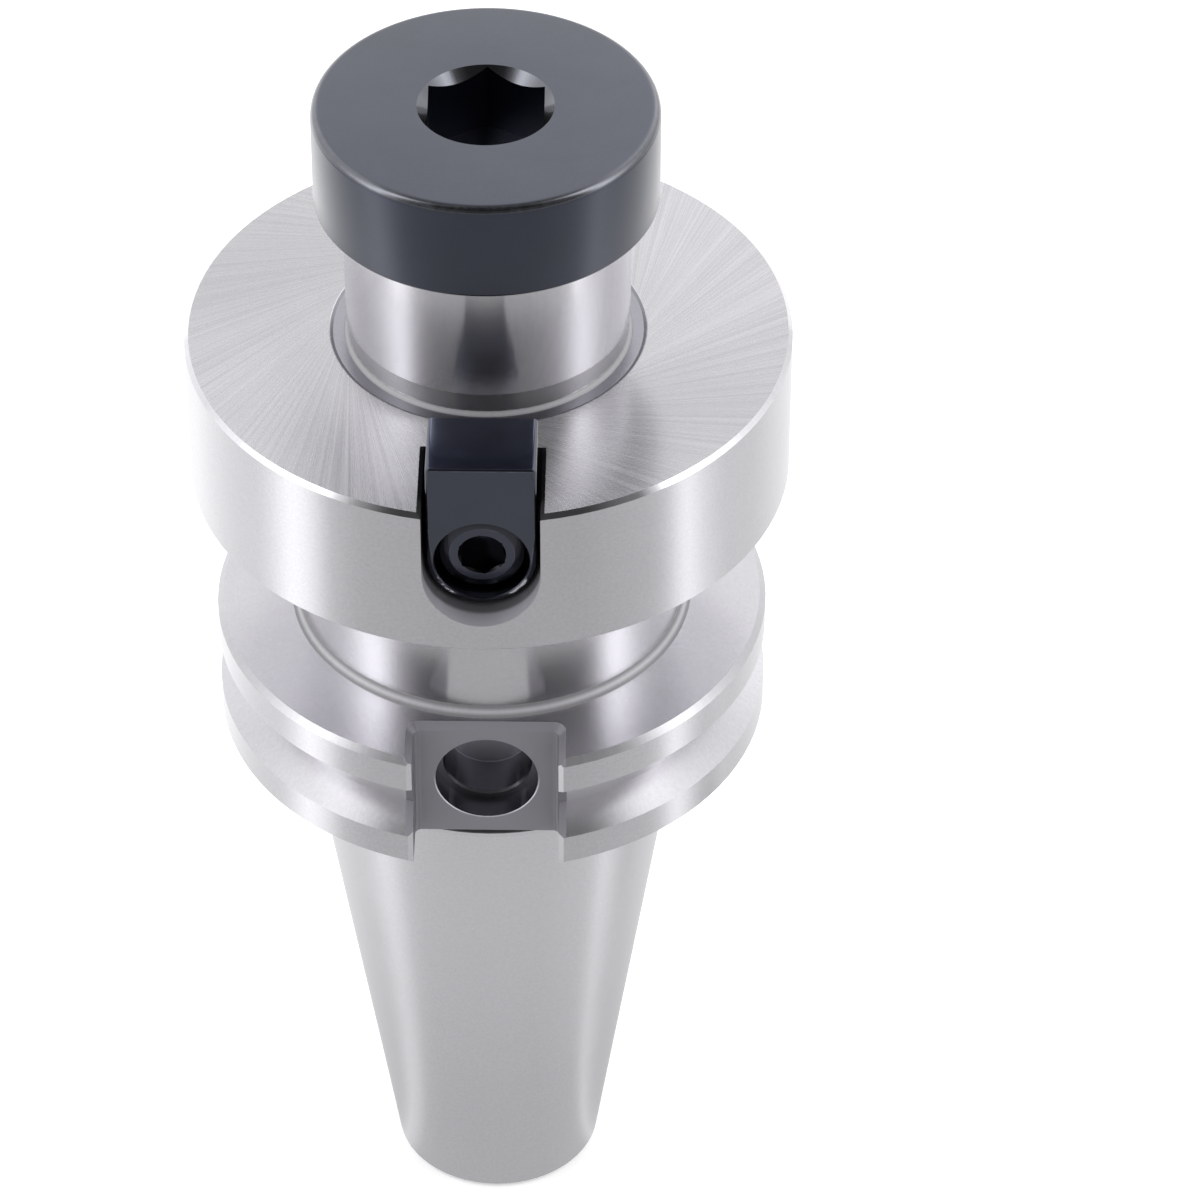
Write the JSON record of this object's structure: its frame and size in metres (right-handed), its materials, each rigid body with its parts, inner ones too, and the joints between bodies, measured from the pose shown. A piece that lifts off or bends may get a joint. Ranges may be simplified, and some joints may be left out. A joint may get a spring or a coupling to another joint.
{
  "type": "shell mill arbor",
  "caption": "Shell mill arbor: steep taper shank, grooved flange with drive slots, disc-shaped cutter seat with bolted drive keys, ground pilot and wide-headed lock screw.",
  "frame": {"origin": "centre of the taper's gauge circle, diameter 44.45 mm, on the arbor's axis", "axes": "+Z along the axis towards the cutter, -Y towards the front drive key and the drive slot with the round pocket, +X to the right seen from the front"},
  "size_m": [0.068, 0.068, 0.1557],
  "materials": {
    "ground_steel": "ground and fine turned",
    "black_steel": "satin black oxide",
    "key_steel": "blued",
    "screw_steel": "glossy black oxide"
  },
  "bodies": {
    "arbor": {"arbor_body": "ground_steel", "drive_key_front": "key_steel", "drive_key_rear": "key_steel", "key_screws": "screw_steel"},
    "lock_screw": {"lock_screw": "black_steel"}
  },
  "joints": [
    {"name": "lock_screw_lift", "type": "slide", "parent": "arbor", "child": "lock_screw", "axis": [0, 0, 1], "range_m": [0, 0.06]}
  ]
}
